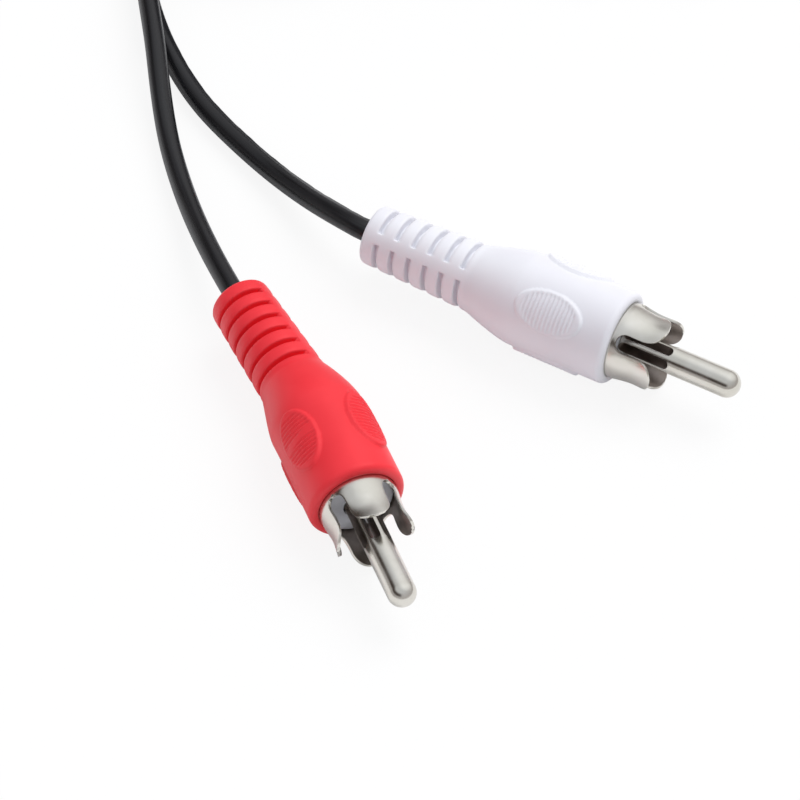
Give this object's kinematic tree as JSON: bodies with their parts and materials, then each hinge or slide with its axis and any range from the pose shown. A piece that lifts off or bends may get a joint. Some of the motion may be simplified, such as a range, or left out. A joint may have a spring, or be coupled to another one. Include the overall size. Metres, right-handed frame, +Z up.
{
  "type": "stereo phono audio lead",
  "caption": "Black twin audio cord with a red and a white moulded phono plug at each end; carries a stereo signal between hi-fi units.",
  "frame": {"origin": "on the surface that the lead lies on, under the middle of the two near plugs' box", "axes": "+Z up from that surface, +X right and +Y away from the viewer, towards the coil of spare cord"},
  "size_m": [0.0787, 0.167, 0.0122],
  "materials": {
    "white_pvc": "satin moulded soft plastic",
    "red_pvc": "satin moulded soft plastic",
    "cord_jacket": "smooth satin jacket",
    "nickel": "bright nickel plate",
    "copper": "bare copper",
    "insulator": "matt grey plastic",
    "inner_plastic": "natural unpainted plastic",
    "tie_plastic": "plastic-coated wire strip"
  },
  "bodies": {
    "root": {"near_white_boot": "white_pvc", "near_white_ground_shell": "nickel", "near_white_centre_pin": "nickel", "near_white_insulator": "insulator", "near_white_inner_mould": "inner_plastic", "near_white_shield_tail": "copper", "near_white_core_insulation": "inner_plastic", "near_white_conductor": "copper", "near_white_jacket_end": "cord_jacket", "near_red_boot": "red_pvc", "near_red_ground_shell": "nickel", "near_red_centre_pin": "nickel", "near_red_insulator": "insulator", "near_red_inner_mould": "inner_plastic", "near_red_shield_tail": "copper", "near_red_core_insulation": "inner_plastic", "near_red_conductor": "copper", "near_red_jacket_end": "cord_jacket", "far_white_boot": "white_pvc", "far_white_ground_shell": "nickel", "far_white_centre_pin": "nickel", "far_white_insulator": "insulator", "far_white_inner_mould": "inner_plastic", "far_white_shield_tail": "copper", "far_white_core_insulation": "inner_plastic", "far_white_conductor": "copper", "far_white_jacket_end": "cord_jacket", "far_red_boot": "red_pvc", "far_red_ground_shell": "nickel", "far_red_centre_pin": "nickel", "far_red_insulator": "insulator", "far_red_inner_mould": "inner_plastic", "far_red_shield_tail": "copper", "far_red_core_insulation": "inner_plastic", "far_red_conductor": "copper", "far_red_jacket_end": "cord_jacket", "near_red_cord": "cord_jacket", "near_white_cord": "cord_jacket", "coil": "cord_jacket", "coil_tie": "tie_plastic", "far_white_cord": "cord_jacket", "far_red_cord": "cord_jacket"}
  },
  "joints": []
}
